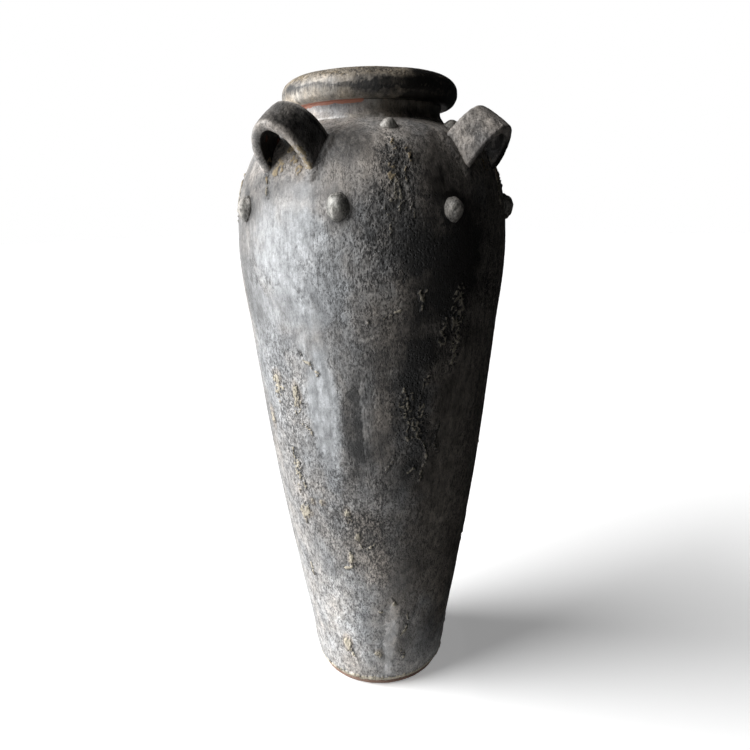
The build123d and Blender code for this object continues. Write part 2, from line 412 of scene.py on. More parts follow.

# Patches by mark: (amount, degrees round, height in mm, half width in degrees, half height in mm); many tone
# patches are painted light and shade, lighter where the key light falls and darker on the side turned from
# it, the rest the clay's own patchy tone
patches = {
    "tone": [
        (-0.4, 22, 898, 12, 20), (0.45, 43, 896, 9, 20), (-0.45, 18, 893, 20, 34),
        (-0.1, 45, 890, 16, 30), (-0.35, 64, 880, 22, 40), (-0.25, 47, 846, 10, 40),
        (-0.35, -16, 845, 14, 40), (-0.4, -10, 838, 14, 36), (-0.65, 5, 836, 13, 18),
        (0.28, 12.5, 785, 8, 36), (0.1, -4, 780, 14, 50), (-0.75, 66, 780, 18, 84),
        (0.3, 114, 780, 14, 150), (-0.45, 48, 775, 16, 46), (0.2, 14, 770, 10, 40),
        (-0.6, -28, 760, 14, 110), (0.34, 3, 742, 12, 30), (-0.6, 82, 740, 18, 130),
        (0.15, -4, 700, 16, 60), (0.32, 9, 700, 8, 30), (0.15, 25, 700, 14, 50), (-0.25, 57, 700, 9, 90),
        (-0.35, 72, 700, 12, 60), (-0.65, 60, 680, 12, 70), (-0.1, 15, 660, 9, 40),
        (-0.1, 37, 660, 8, 60), (-0.3, 34, 655, 3.5, 14), (-0.45, -8, 648, 10, 60),
        (0.1, 12, 640, 6, 60), (-0.25, -28, 620, 10, 60), (-0.45, 46, 620, 12, 70),
        (-0.25, 35, 600, 14, 40), (0.15, -10, 560, 14, 120),
        (0.2, 10, 560, 7, 110), (-0.55, 62, 560, 12, 130), (-0.25, 36, 540, 9, 90),
        (-0.6, 53, 522, 8, 72), (-0.3, 53, 520, 7, 60), (-0.25, 37, 515, 7, 60), (-0.12, 13, 510, 8, 80),
        (0.35, 14, 505, 6, 95), (-1.3, 26, 505, 5.5, 72), (-0.22, -9, 500, 10, 70), (0.22, 3, 470, 7, 40),
        (-0.55, 42, 450, 9, 60), (-0.12, 13, 430, 8, 60), (-0.4, 60, 420, 10, 60),
        (-0.45, 24, 410, 7, 24), (0.1, -8, 400, 16, 120), (-0.1, 82, 400, 14, 260),
        (-0.24, -8, 330, 10, 60), (-0.5, 52, 330, 12, 90), (0.55, 25, 258, 14, 36),
        (0.15, 14, 250, 14, 60), (0.5, 30, 192, 8, 44), (0.45, -14, 190, 16, 120),
        (-0.45, 54, 180, 12, 70), (0.4, 10, 165, 12, 50), (0.2, 34, 160, 6, 40), (0.2, 17, 158, 8, 40),
        (0.55, 4, 150, 14, 46), (-0.26, -6, 142, 9, 55), (-0.25, 80, 140, 12, 70),
        (0.3, -2, 120, 16, 60), (0.14, 16, 120, 8, 90),
        (-0.5, 55, 115, 5.5, 55), (0.3, 20, 110, 18, 60), (-1, 74, 92, 16, 54), (0.25, -6, 70, 16, 40),
        (0.55, 15, 56, 14, 26), (0.35, -8, 50, 18, 30),
    ],
    "warm": [
        (0.1, 40, 880, 24, 36), (0.5, 66, 830, 12, 60), (1.5, 108, 780, 18, 180), (-0.7, 4, 730, 18, 90),
        (0.6, 66, 720, 20, 110), (0.7, 48, 660, 14, 60), (-0.5, -20, 600, 14, 120),
        (0.7, 75, 600, 16, 200), (1.3, 86, 600, 22, 140), (-0.8, 13, 520, 7, 110), (0.6, 40, 500, 5, 70),
        (0.3, 62, 450, 14, 120), (1.2, 84, 330, 22, 200), (0.6, 28, 300, 10, 60),
        (0.25, 48, 250, 10, 160), (0.5, 56, 230, 10, 120), (-0.3, 17, 155, 12, 60),
    ],
    "rough": [
        (0.9, 47, 850, 9, 42), (1, 45, 772, 19, 52), (0.35, 40, 640, 14, 120), (0.6, 68, 640, 10, 70),
        (0.35, -9, 560, 12, 95), (1, 53, 520, 9, 80), (0.45, 25, 500, 6, 74), (0.3, -8, 430, 12, 110),
        (0.5, 20, 380, 20, 70), (0.3, 45, 330, 18, 80), (0.45, 30, 300, 20, 60), (0.15, 12, 170, 16, 60),
    ],
    "burnish": [
        (0.7, 30, 890, 17, 26), (0.6, 60, 850, 9, 40), (0.6, 15, 825, 14, 26), (0.9, -2, 775, 17, 62),
        (0.5, 0, 680, 14, 46), (0.5, -8, 650, 12, 70), (0.8, 13, 600, 5, 90), (0.9, 9, 590, 6, 90),
        (0.8, 75, 540, 12, 90), (0.9, 14, 500, 7, 85), (0.6, 66, 380, 12, 80), (0.6, 50, 250, 9, 70),
        (0.5, 4, 150, 12, 44),
    ],
}

# Rubbed or run streaks: (mark, amount, half width in mm, route)
streaks = [
    ("tone", 1.00, 2.8, [(29.6, 572), (30.2, 520), (31.0, 452)]),
    ("tone", 0.40, 1.8, [(31.6, 560), (32.2, 505), (32.8, 470)]),
    ("tone", 0.30, 2.0, [(35.2, 560), (36.4, 500)]),
    ("burnish", 0.9, 6.0, [(30.2, 575), (31.4, 458)]),
    ("tone", 0.35, 5.0, [(18.6, 692), (17.8, 605), (16.4, 413)]),
    ("tone", 0.25, 2.5, [(21.0, 560), (20.5, 500), (20.0, 430)]),
    ("tone", 0.25, 2.5, [(12.0, 600), (11.5, 540), (11.0, 450)]),
    ("tone", 1.00, 3.4, [(26.5, 640), (30.0, 633), (33.5, 634), (37.0, 641)]),
    ("burnish", 0.8, 5.0, [(26.5, 640), (30.0, 633), (33.5, 634), (37.0, 641)]),
    ("tone", 1.90, 14.0, [(45.2, 166), (44.9, 130), (43.4, 104)]),
    ("tone", 0.35, 3.0, [(46.6, 172), (46.6, 140), (45.2, 112)]),
    ("tone", 0.50, 1.8, [(40.7, 160), (41.0, 90), (41.2, 34)]),
    ("tone", 1.80, 7.5, [(43.8, 112), (42.7, 70), (41.8, 34)]),
    ("tone", -0.90, 1.7, [(-5.8, 730), (-3.8, 729.5)]),
    ("tone", -0.90, 1.6, [(-5.0, 709), (-2.6, 709)]),
    ("tone", -1.20, 2.2, [(7.1, 763), (7.3, 763.5)]),
    ("tone", 0.40, 2.2, [(46.8, 112), (46.0, 84)]),
    ("burnish", 1.0, 15.0, [(45.0, 170), (44.6, 134), (43.2, 88), (41.1, 32)]),
    ("warm", -0.1, 10.0, [(45.0, 178), (44.6, 134), (43.2, 88), (41.1, 32)]),
    ("tone", 0.30, 2.4, [(38.8, 166), (38.7, 102)]),
    ("tone", 0.30, 3.0, [(52.5, 180), (51.5, 140)]),
    ("tone", -0.40, 3.0, [(39.1, 458), (38.4, 346), (37.5, 211), (36.9, 60)]),
]


# Pellets and buttons set on by hand, not quite evenly: turns in degrees, the rest in metres
pellets = {
    "firstTurn": 112.5, "height": 0.811, "length": 0.039, "width": 0.032, "proud": 0.0135, "sunk": 0.006,
    "skirt": 0.14, "pinch": 0.16, "creaseShadeReach": (18, 22),  # half sizes of the painted shade round it where it meets the wall, in mm
    "wobble": (0.0044, 0.02), "dents": (0.0026, 0.008), "grit": (0.0005, 0.003), "seed": 7,
    "strayTurn": (0.0, 0.8, -0.6, 0.4, -0.5, -1.3, 1.3, 0.0),
    "strayUp": (0.000, -0.001, 0.002, 0.0, -0.002, 0.002, 0.002, -0.0035),
    "stretch": (1.0, 0.97, 1.03, 1.0, 0.95, 1.0, 1.0, 0.92),
}
buttons = {
    "firstTurn": 90, "height": 0.921, "length": 0.0230, "width": 0.0245, "proud": 0.0105, "sunk": 0.004,
    "skirt": 0.12, "pinch": 0.0,
    "wobble": (0.0024, 0.02), "dents": (0.0012, 0.008), "grit": (0.0004, 0.003), "seed": 8,
    "strayTurn": (-2.0, 1.0, -0.8, 0.5, 0.0, 0.9, -0.6, 0.3),
    "strayUp": (0.0, 0.001, -0.001, 0.0, 0.001, 0.0, -0.001, -0.0025),
    "stretch": (1.0, 1.04, 0.97, 1.0, 1.0, 0.96, 1.03, 1.0),
}


def lumpTurns(sizes):
    return [sizes["firstTurn"] + 45 * i + stray for i, stray in enumerate(sizes["strayTurn"])]


hidden = (100, 325)  # degrees round, the sides out of sight


def straySpots(count, seed):  # short crust lines for the hidden sides, like those in front
    rng = random.Random(seed)
    found = []
    for _ in range(count):
        turn = rng.uniform(*hidden)
        up = rng.choice([rng.uniform(60, 480), rng.uniform(420, 700), rng.uniform(820, 890)])
        route = [(turn, up)]
        for _ in range(rng.randint(1, 4)):
            turn += rng.uniform(-3.2, 3.2)
            up -= rng.uniform(6, 20)
            route.append((turn, up))
        found.append((rng.uniform(1.8, 4.2), route))
    return found


def strayPatches(count, seed):  # and patches of finish there
    rng = random.Random(seed)
    amounts = {"rough": (0.5, 1.0), "burnish": (0.5, 0.9), "tone": (-0.6, 0.4), "warm": (-0.8, 0.7)}
    found = []
    for _ in range(count):
        mark = rng.choice(sorted(amounts))
        amount = rng.uniform(*amounts[mark])
        found.append((mark, amount, rng.uniform(*hidden), rng.uniform(60, 900), rng.uniform(5, 17),
                      rng.uniform(40, 120)))
    return found


def footLines():  # where the straps meet the shoulder, a line each side of each strap
    return [[(at + side * 12.5, 857), (at + side * 18.0, 905)]
            for at in (0, 90, 180, 270) for side in (-1, 1)]


wear = {  # how strongly each mark shows, and how many times its drawn width it takes up
    "crustWidth": 1.25, "besideWidth": 3.0, "besideRough": 0.6, "besideShade": -0.20,
    "vein": 0.55, "veinWidth": 1.35, "veinBesideWidth": 4.0, "veinRough": 0.7, "veinTone": -0.25,
    "stainWarm": 1.2, "stainHalo": 1.4, "crumbs": 0.9,
    "waver": 5.0, "streakWaver": 2.0,  # mm by which a line strays from where it is drawn
    "lighterToFoot": 0.45, "shoulderWarm": 0.4, "heelTone": 1.2, "roughOverBurnish": 0.8,
}


def paintWall(piece):
    skin = Skin(piece)
    marks = {name: np.zeros(len(skin.turn)) for name in markNames}

    def lay(crust):  # crust lies over what is there
        marks["crust"] = np.maximum(marks["crust"], crust)

    crumbly = skin.crumb + 0.5 * skin.ragged
    broken = easeStep(-0.34, 0.04, crumbly)  # crust breaks up into crumbs
    for width, route in crustLines + straySpots(jar["strays"], jar["seed"]):
        near = skin.line(route, width * wear["crustWidth"], wear["waver"])
        beside = skin.line(route, width * wear["besideWidth"], wear["waver"])
        lay(near * broken)
        marks["rough"] += wear["besideRough"] * beside
        # painted shade beside each raised crust line
        marks["tone"] += wear["besideShade"] * beside * (1 - near)
    for width, route in veinLines:
        lay(wear["vein"] * skin.line(route, width * wear["veinWidth"], wear["waver"]) * broken)
        beside = skin.line(route, width * wear["veinBesideWidth"], wear["waver"])
        marks["rough"] += wear["veinRough"] * beside
        marks["tone"] += wear["veinTone"] * beside
    crumbling = 0.84 + 0.5 * skin.crumb + 0.3 * skin.ragged
    for turn, up, wide, tall, amount in stains:
        lay(amount * skin.patch(turn, up, wide, tall) * crumbling)
        halo = wear["stainHalo"]
        marks["warm"] += wear["stainWarm"] * skin.patch(turn, up, halo * wide, halo * tall)
    scattered = wear["crumbs"] * easeStep(0.05, 0.28, crumbly)
    for crumbPatch in crumbPatches:
        lay(scattered * skin.patch(*crumbPatch))
    drawn = [(mark, *row) for mark, rows in patches.items() for row in rows]
    for mark, amount, *where in drawn + strayPatches(jar["strays"], jar["seed"] + 1):
        marks[mark] += amount * skin.patch(*where)
    for mark, amount, width, route in streaks:
        marks[mark] += amount * skin.line(route, width, wear["streakWaver"])
    # the tone grows lighter towards the foot
    marks["tone"] += wear["lighterToFoot"] * (1 - easeStep(110, 260, skin.up + 40 * skin.blot))
    marks["warm"] += wear["shoulderWarm"] * easeStep(770, 860, skin.up + 30 * skin.blot)
    wide, tall = pellets["creaseShadeReach"]
    for at, lift in zip(lumpTurns(pellets), pellets["strayUp"]):  # painted shade round the foot of each pellet
        aside = np.radians(skin.aside(at)) * skin.out
        creaseShadeReach = np.hypot(aside / wide, (skin.up - 1000 * (pellets["height"] + lift)) / tall)
        marks["tone"] -= (0.4 + 0.5 * skin.wander) * (1 - easeStep(0.95, 1.35, creaseShadeReach + 0.2 * skin.ragged))
    uneven = 9 * skin.blot + 7 * skin.wander + 4 * skin.crumb
    heel = 1 - easeStep(18, 26, skin.up + uneven)  # lime crust above the slab
    heel *= easeStep(-0.60, -0.20, skin.wander + 0.7 * skin.crumb)
    lay(heel)
    marks["tone"] += wear["heelTone"] * heel
    marks["burnish"] = np.clip(marks["burnish"] - wear["roughOverBurnish"] * marks["rough"], 0, 1)
    marks["burnish"] *= 1 - marks["crust"]
    marks["rough"] = np.clip(marks["rough"], 0, 1)
    paintMarks(piece, **marks)
    return skin, marks, heel


def numberCourses(piece):  # each face keeps the number of its course
    course = piece.data.attributes.new("course", "INT", "FACE")
    course.data.foreach_set("value", np.digitize(faceCentres(piece)[:, 2], jar["seams"]).astype(np.int32))


wall = lathe("outsideSkin", jar["outside"], jar["outsideRow"] * coarse, jar["steps"] // coarse)
cutLevel(wall, jar["seams"])
print("outside spun:", len(wall.data.polygons), "faces")

order = np.argsort(pointsOf(wall)[:, 2])
wallHeights = pointsOf(wall)[order, 2]
wallRadii = np.hypot(*pointsOf(wall)[order, :2].T)


def wallRadius(z):  # outside radius at a height, before any dents
    return float(np.interp(z, wallHeights, wallRadii))


numberCourses(wall)
skin, marks, heel = paintWall(wall)
ends = easeStep(14, 40, skin.up) * (1 - easeStep(915, 934, skin.up))
seamLine = sum(band(skin.up + 1.5 * skin.wander, z, 1.6) for z in jar["seamLines"])
weights = {
    "all": ends,
    "pitted": np.clip(0.25 + 0.75 * marks["rough"] - 0.6 * marks["burnish"], 0, 1) * ends,
    "crusted": marks["crust"],
    "smeared": np.max([skin.line(route, 11, 2.5) for route in footLines()], axis=0),
    "heel": heel * marks["crust"],
    "joint": seamLine * (0.6 + 0.4 * skin.blot),
}
for name, weight in weights.items():
    weightGroup(wall, name, weight)
push(wall, *jar["wobble"], "all")
push(wall, *jar["dents"], "all")
push(wall, *jar["pits"], "pitted")
push(wall, jar["smear"], None, "smeared")
push(wall, jar["crust"], None, "crusted")
push(wall, jar["heelCrust"], None, "heel")
push(wall, jar["jointGroove"], None, "joint")
applyAll(wall)
print("wall painted and dented")

lining = lathe("insideSkin", jar["inside"], jar["insideRow"], jar["steps"] // coarse)
cutLevel(lining, jar["seams"])
numberCourses(lining)
editing(lining)  # the lining faces the hollow
bpy.ops.mesh.select_all(action="SELECT")
if faceCentres(lining)[0] @ np.array(lining.data.polygons[0].normal) > 0:
    bpy.ops.mesh.flip_normals()
doneEditing()
pick(lining)
wall.select_set(True)
bpy.context.view_layer.objects.active = wall
bpy.ops.object.join()


def partCourses(whole, names):
    pieces = []
    for number, name in enumerate(names[:-1]):
        level = np.zeros(len(whole.data.polygons), np.int32)
        whole.data.attributes["course"].data.foreach_get("value", level)
        pick(whole)
        chosenOnly(whole, faces=level == number)
        editing(whole, "FACE")
        bpy.ops.mesh.separate(type="SELECTED")
        doneEditing()
        piece = [o for o in bpy.context.selected_objects if o is not whole][0]
        piece.name = name
        pieces.append(piece)
    whole.name = names[-1]
    return pieces + [whole]


courseNodes = ["wall_course_%d" % i for i in range(1, 8)] + ["shoulder"]
courses = partCourses(wall, ["clayCourse%d" % i for i in range(1, 8)] + ["clayShoulder"])
for piece, node in zip(courses, courseNodes):
    closeRing(piece, True)
    closeRing(piece, False)
    smoothShade(piece, 60)
    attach(piece, "root")
    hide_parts(node)
    "burnished_shoulder" if node == "shoulder" else "burnished_wall"
    print(piece.name, len(piece.data.polygons), "faces")


# Neck collar and rolled rim

neck = {
    "collar": [(0.0950, 0.9345), (0.1155, 0.9335), (0.1138, 0.9378), (0.1112, 0.9412), (0.1086, 0.9490),
               (0.1106, 0.9585), (0.0950, 0.9585)],
    "collarCorners": (0, 1, 5, 6),
    "rim": [(0.0950, 0.9585), (0.1110, 0.9585), (0.1250, 0.9590), (0.1325, 0.9670), (0.1345, 0.9770),
            (0.1318, 0.9880), (0.1232, 0.9962), (0.1115, 1.0000), (0.1015, 0.9974), (0.0960, 0.9910),
            (0.0950, 0.9800)],
    "rimCorners": (0, 1),
    "row": 0.0018, "steps": 448,
    "wobble": (0.0016, 0.11), "dents": (0.0010, 0.03), "grit": (0.0004, 0.005),
    "front": -8,  # degrees round to the middle of the lit, bare spell
    "blackBand": (976, 7.5), "lipSmear": (980, 4.5), "paintedLipHighlight": (967, 5.5),  # height and half height in mm
    "blackPatch": (46, 973, 25, 7),  # degrees round, height in mm, half width in degrees, half height in mm
}


def neckPiece(name, node, knots, corners):
    piece = lathe(name, knots, neck["row"] * coarse, neck["steps"] // coarse, corners, True)
    handMade(piece, neck)
    smoothShade(piece, 60)
    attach(piece, "root")
    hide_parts(node)
    return piece


def bareSpell(skin):  # red clay shows towards the light
    return 1 - easeStep(34, 46, skin.aside(neck["front"]) + 6 * skin.blot)


def shadeFromTurn(skin, low, high, ragged=10):  # painted shade from one turn to another and on round to the back
    return easeStep(low, high, skin.turn + ragged * skin.blot) * (1 - easeStep(150, 170, skin.turn))


collar = neckPiece("clayCollar", "neck_collar", neck["collar"], neck["collarCorners"])
skin = Skin(collar)
shadedSide = shadeFromTurn(skin, 36, 62)
throat = skin.out < 99
underRim = easeStep(953.0, 955.5, skin.up + 1.2 * skin.wander)
# painted light and shade: the collar is lighter at the front, towards the key light, and darker past 10 to 38
# degrees round, darker still on the shaded side and inside the throat
paintMarks(collar, bare=0.8 * bareSpell(skin) * underRim, burnish=0.7,
           tone=0.75 + 0.4 * skin.blot - 0.85 * easeStep(10, 38, skin.turn) - shadedSide - 0.7 * throat,
           warm=-0.1 + 0.4 * skin.blot + 0.4 * shadedSide)

rim = neckPiece("clayRim", "rim_roll", neck["rim"], neck["rimCorners"])
skin = Skin(rim)
around = np.stack([skin.turn / 14, skin.up / 9, skin.out / 30], axis=1)
smear = cloudsAt(around, 1.0, 4)  # drawn out round the rim
crumbly = smear + 0.8 * skin.crumb
topWear = easeStep(981, 992, skin.up + 5 * skin.blot)
under = 1 - easeStep(958.8, 961.0, skin.up + 0.6 * skin.ragged)
under *= 1 - easeStep(119, 123, skin.out + skin.wander)
black = band(skin.up - 5 * smear, *neck["blackBand"]) * easeStep(-0.45, 0.0, smear + 0.4 * skin.ragged)
black *= 0.55 + 0.45 * easeStep(0, 26, skin.aside(0))
black = np.clip(black + skin.patch(*neck["blackPatch"]) * easeStep(-0.45, 0.2, crumbly), 0, 1)
lit = 1 - easeStep(14, 30, skin.aside(neck["front"]))
lipSmear = lit * band(skin.up - 3 * smear, *neck["lipSmear"])
lipSmear *= easeStep(-0.35, 0.2, smear + 0.6 * skin.crumb)
# painted highlight along the lower lip on the lit side
paintedLipHighlight = lit * band(skin.up, *neck["paintedLipHighlight"])
shadedSide = shadeFromTurn(skin, 46, 72)
shadeUnderRim = shadedSide * (1 - easeStep(961, 968, skin.up))
shadeOnLowerLip = shadeFromTurn(skin, 20, 40, 8) * (1 - shadedSide) * (1 - easeStep(966, 975, skin.up + 3 * smear))
tanned = np.maximum(topWear, 0.7 * (1 - easeStep(964, 972, skin.up))) * easeStep(-0.3, 0.3, crumbly)
tanned *= (1 - under) * (1 - 0.9 * shadeUnderRim) * (1 - 0.8 * shadeOnLowerLip)
# painted light and shade: the rim is lighter at the front, towards the key light, and darker past 10 to 34
# degrees round, with painted shade on the shaded side, under the rim and on the lower lip past the front; the
# black band, smears and top wear are its own marks
tone = 0.35 - 0.50 * easeStep(10, 34, skin.turn) - 0.30 * topWear + 0.25 * smear + 0.70 * paintedLipHighlight
tone -= 1.3 * black + shadedSide + 0.8 * shadeUnderRim + 0.8 * shadeOnLowerLip + 0.9 * lipSmear
paintMarks(rim, bare=under * bareSpell(skin), crust=0.62 * tanned, warm=0.9 * topWear + 0.5, tone=tone,
           burnish=np.clip(0.8 * (1 - topWear) - 0.5 * black, 0, 1), rough=0.35 * topWear + 0.3 * black)
print("collar and rim done")


# Base slab with its bare edge

slab = {
    "profile": [(0.0, 0.0), (0.0990, 0.0), (0.1055, 0.0022), (0.1076, 0.0065), (0.1068, 0.0120),
                (0.0879, 0.0120), (0.0879, 0.0220), (0.0, 0.0220)],
    "corners": (0, 1, 4, 5, 6, 7),
    "row": 0.0016, "steps": 384, "lumps": (0.0014, 0.02), "grit": (0.0007, 0.005),
}
base = lathe("claySlab", slab["profile"], slab["row"], slab["steps"], slab["corners"])
skin = Skin(base)
outerEdge = easeStep(96, 102, skin.out)
weightGroup(base, "edge", easeStep(1.0, 3.0, skin.up) * outerEdge)
push(base, *slab["lumps"], "edge")
push(base, *slab["grit"], "edge")
applyAll(base)
crusted = easeStep(8.0, 11.0, skin.up + 4 * skin.ragged) * easeStep(-0.5, 0.0, skin.blot + 0.5 * skin.crumb)
paintMarks(base, bare=1.0, crust=crusted * outerEdge, rough=0.6, tone=-0.1)
smoothShade(base, 60)
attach(base, "root")
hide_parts("base_slab")
print("slab done")


# Strap handles: a sheet raised up one leg, spun over the arch, drawn down again, thickened and softened

handle = {
    "width": 0.0545, "thick": 0.0148, "rise": 0.063,
    "halfFront": 0.0455, "halfBack": 0.0515,
    "footFront": 0.0870, "footBack": 0.0660,  # how far the feet reach below the top, into the wall
    "topRadius": 0.2390, "topHeight": 0.9190, "tilt": 37.5,
    "archSteps": 26, "across": 7, "legSteps": 4, "crown": 0.0018,
    "wobble": (0.0036, 0.055), "dents": (0.0020, 0.018), "grit": (0.0005, 0.0045),
    "opening": (0.0415, 0.056), "lowEnd": (0.045, 0.075),
    "cutEnd": (0.0205, 0.0255), "rubbedLitSpan": (0.017, 0.025),  # from where to where across the strap
    "turns": (90, 180, 270, 0),  # nodes 1 to 4 are on +X, +Y, -X, -Y, and no two are quite alike
    "spread": (0.95, 1.02, 0.98, 1.0), "drop": (0.0048, 0.0015, 0.0, 0.0),
    # each handle's tone is its painted light and shade, node 4's outer face darkest; lip lightens the rubbed
    # edges, partly real rubbing and partly a painted highlight, most on node 4
    "tone": (-0.34, -0.6, -0.5, -1.15), "lip": (0.4, 0.6, 0.5, 1.8), "red": (0.1, 0.5, 0.4, 0.75),
}


def bentStrap():
    half = (handle["halfFront"] + handle["halfBack"] - handle["thick"]) / 2
    springing = -handle["rise"]
    leg = 0.02
    letGo()
    bpy.ops.mesh.primitive_grid_add(x_subdivisions=handle["legSteps"], y_subdivisions=handle["across"],
                                    size=1, rotation=(0, math.pi / 2, 0),
                                    location=(-half, 0, springing - leg / 2))
    strap = bpy.context.object
    strap.scale = (leg, handle["width"], 1)
    settle(strap)
    chosenOnly(strap, verts=pointsOf(strap)[:, 2] > springing - 1e-5)
    editing(strap)
    bpy.ops.mesh.spin(steps=handle["archSteps"], angle=math.pi, center=(0, 0, springing), axis=(0, -1, 0))
    for _ in range(handle["legSteps"]):
        step = (0, 0, -leg / handle["legSteps"])
        bpy.ops.mesh.extrude_region_move(TRANSFORM_OT_translate={"value": step})
    doneEditing()
    outwards(strap)
    co = pointsOf(strap)
    tall = (handle["rise"] - handle["thick"] / 2) / half
    deep = co[:, 1] / handle["width"] + 0.5  # 0 at the back, 1 at the front of the opening
    reach = handle["footBack"] + (handle["footFront"] - handle["footBack"]) * deep
    over = co[:, 2] > springing
    co[:, 2] = np.where(over, springing + (co[:, 2] - springing) * tall,
                        springing + (co[:, 2] - springing) / leg * (reach - handle["rise"]))
    spread = handle["halfBack"] + (handle["halfFront"] - handle["halfBack"]) * deep - handle["thick"] / 2
    co[:, 0] *= spread / half
    lift = handle["crown"] * (1 - (2 * deep - 1) ** 2)
    outward = np.stack([co[:, 0], np.zeros(len(co)), co[:, 2] - springing], axis=1)
    outward /= np.linalg.norm(outward, axis=1)[:, None]
    co += outward * lift[:, None]
    putPoints(strap, co)
    mod = strap.modifiers.new("thickness", "SOLIDIFY")
    mod.thickness = handle["thick"]
    mod.offset = 0
    mod.use_even_offset = True
    applyAll(strap)
    subdivided(strap, 3)  # rounds the edges right over
    outwards(strap)
    return strap


def handlePlace(turn):  # leans the strap over the shoulder and turns it round the jar
    tilt = math.radians(handle["tilt"])
    hole = Vector((math.cos(tilt), 0, -math.sin(tilt)))
    upward = Vector((math.sin(tilt), 0, math.cos(tilt)))
    aside = hole.cross(upward)
    corner = Vector((handle["topRadius"], 0, handle["topHeight"])) - hole * handle["width"] / 2
    lean = Matrix((aside, hole, upward)).transposed().to_4x4()
    lean.translation = corner
    return Matrix.Rotation(math.radians(turn - 90), 4, "Z") @ lean


def copyOf(piece, name):
    twin = piece.copy()
    twin.data = piece.data.copy()
    twin.name = name
    bpy.context.collection.objects.link(twin)
    return twin


strapModel = bentStrap()
strapShape = pointsOf(strapModel)
archUp = np.maximum(strapShape[:, 2] + handle["rise"], 0)
wide, tall = handle["opening"]
inHole = np.clip((1 - np.hypot(strapShape[:, 0] / wide, archUp / tall)) * 9, 0, 1)
inHole *= 1 - 0.9 * easeStep(*handle["cutEnd"], np.abs(strapShape[:, 1]))
lowEnd = easeStep(*handle["lowEnd"], -strapShape[:, 2])
rubbedLitEdge = easeStep(*handle["rubbedLitSpan"], np.abs(strapShape[:, 1])) * (1 - inHole)  # edges rubbed paler, and brightened further as a painted highlight
for number, turn in enumerate(handle["turns"], start=1):
    piece = copyOf(strapModel, "clayStrap%d" % number)
    ownWays = ("spread", "drop", "tone", "lip", "red")
    spread, drop, tone, lip, red = [handle[key][number - 1] for key in ownWays]
    squat = Matrix.Diagonal((spread, 1, 1 - drop / handle["footFront"], 1))
    piece.matrix_world = handlePlace(turn) @ Matrix.Translation((0, 0, -drop)) @ squat
    settle(piece)
    handMade(piece, handle)
    skin = Skin(piece)
    crust = np.clip(1.1 * lowEnd * inHole + 0.35 * lowEnd, 0, 1)
    crust *= easeStep(-0.35, 0.25, skin.blot + 0.5 * skin.ragged)
    if number == 4:  # ochre down the right of its lip
        ochre = rubbedLitEdge * easeStep(2, 6, skin.turn) * (1 - easeStep(885, 915, skin.up))
        crust = np.maximum(crust, 0.8 * ochre * (0.75 + 0.5 * skin.crumb))
    if number == 1:  # painted shade on the edges of its far leg
        lip = lip - 1.6 * easeStep(91, 99, skin.turn)
    # painted shade darkens the inside of the opening
    tone = tone + 0.6 * skin.blot + 0.3 * lowEnd - inHole + lip * rubbedLitEdge * (1 + 0.5 * skin.blot)
    paintMarks(piece, bare=np.clip(red * inHole * easeStep(0.0, 0.4, skin.blot), 0, 1), crust=0.9 * crust,
               tone=tone, burnish=0.55 * (1 - inHole), rough=0.3 * (1 - rubbedLitEdge), warm=0.4 + 0.25 * skin.blot)
    smoothShade(piece, 60)
    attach(piece, "root")
    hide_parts("strap_handle_%d" % number)
bpy.data.objects.remove(strapModel)
print("handles done")


# Pellets and buttons pressed on to the wall

def pressedLump(sizes):  # a ball pressed on: pinched ends, a skirt that meets the wall
    letGo()
    bpy.ops.mesh.primitive_uv_sphere_add(segments=48, ring_count=28, radius=1, location=(0, 0, 0))
    lump = bpy.context.object
    co = pointsOf(lump)
    pinch = sizes["pinch"] * np.where(co[:, 1] < 0, 1.5, 0.7)  # drawn to a point below
    co[:, 0] *= 1 - pinch * co[:, 1] ** 2
    proud = np.clip(co[:, 2], 0, 1)
    low = 1 - easeStep(0.0, 0.45, proud)
    co[:, :2] *= 1 + sizes["skirt"] * (low * (co[:, 2] > -0.3))[:, None]
    co[:, 2] *= np.where(co[:, 2] > 0, sizes["proud"], sizes["sunk"])
    co[:, 0] *= sizes["width"] / 2 / (1 + sizes["skirt"])
    co[:, 1] *= sizes["length"] / 2 / (1 + sizes["skirt"])
    putPoints(lump, co)
    return lump


def lumpPlace(turn, height, spin, scale, stretch):  # flat on the wall, its length up the slope
    rise = 0.004
    low = Vector((wallRadius(height - rise), 0, height - rise))
    high = Vector((wallRadius(height + rise), 0, height + rise))
    upward = (high - low).normalized()
    aside = Vector((0, 1, 0))
    outward = aside.cross(upward)
    lean = Matrix((aside, upward, outward)).transposed().to_4x4()
    lean.translation = (low + high) / 2
    return (Matrix.Rotation(math.radians(turn - 90), 4, "Z") @ lean
            @ Matrix.Rotation(spin, 4, "Z") @ Matrix.Diagonal((scale, scale * stretch, scale, 1)))


def pressOn(sizes, name, node):
    rng = random.Random(sizes["seed"])
    model = pressedLump(sizes)
    strays = zip(lumpTurns(sizes), sizes["strayUp"], sizes["stretch"])
    for number, (turn, lift, stretch) in enumerate(strays, start=1):
        piece = copyOf(model, "%s%d" % (name, number))
        up = sizes["height"] + lift
        piece.matrix_world = lumpPlace(turn, up, rng.uniform(-0.1, 0.1), rng.uniform(0.97, 1.02), stretch)
        settle(piece)
        handMade(piece, sizes)
        skin = Skin(piece)
        crown = easeStep(0.35, 1.0, (skin.out - skin.out.min()) / np.ptp(skin.out))
        paintMarks(piece, tone=-0.45 + 0.55 * crown + 0.35 * skin.blot + 0.2 * skin.ragged,
                   rough=0.25 * (1 - crown), burnish=0.2 + 0.3 * crown,
                   crust=0.25 * easeStep(0.1, 0.5, skin.blot) * (1 - crown), warm=0.15)
        smoothShade(piece, 60)
        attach(piece, "root")
        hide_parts("%s_%d" % (node, number))
    bpy.data.objects.remove(model)


pressOn(pellets, "clayPellet", "pellet")
pressOn(buttons, "clayButton", "button")
print("pellets and buttons done")


# Finishes: one smoked clay, with its tones set for each slot

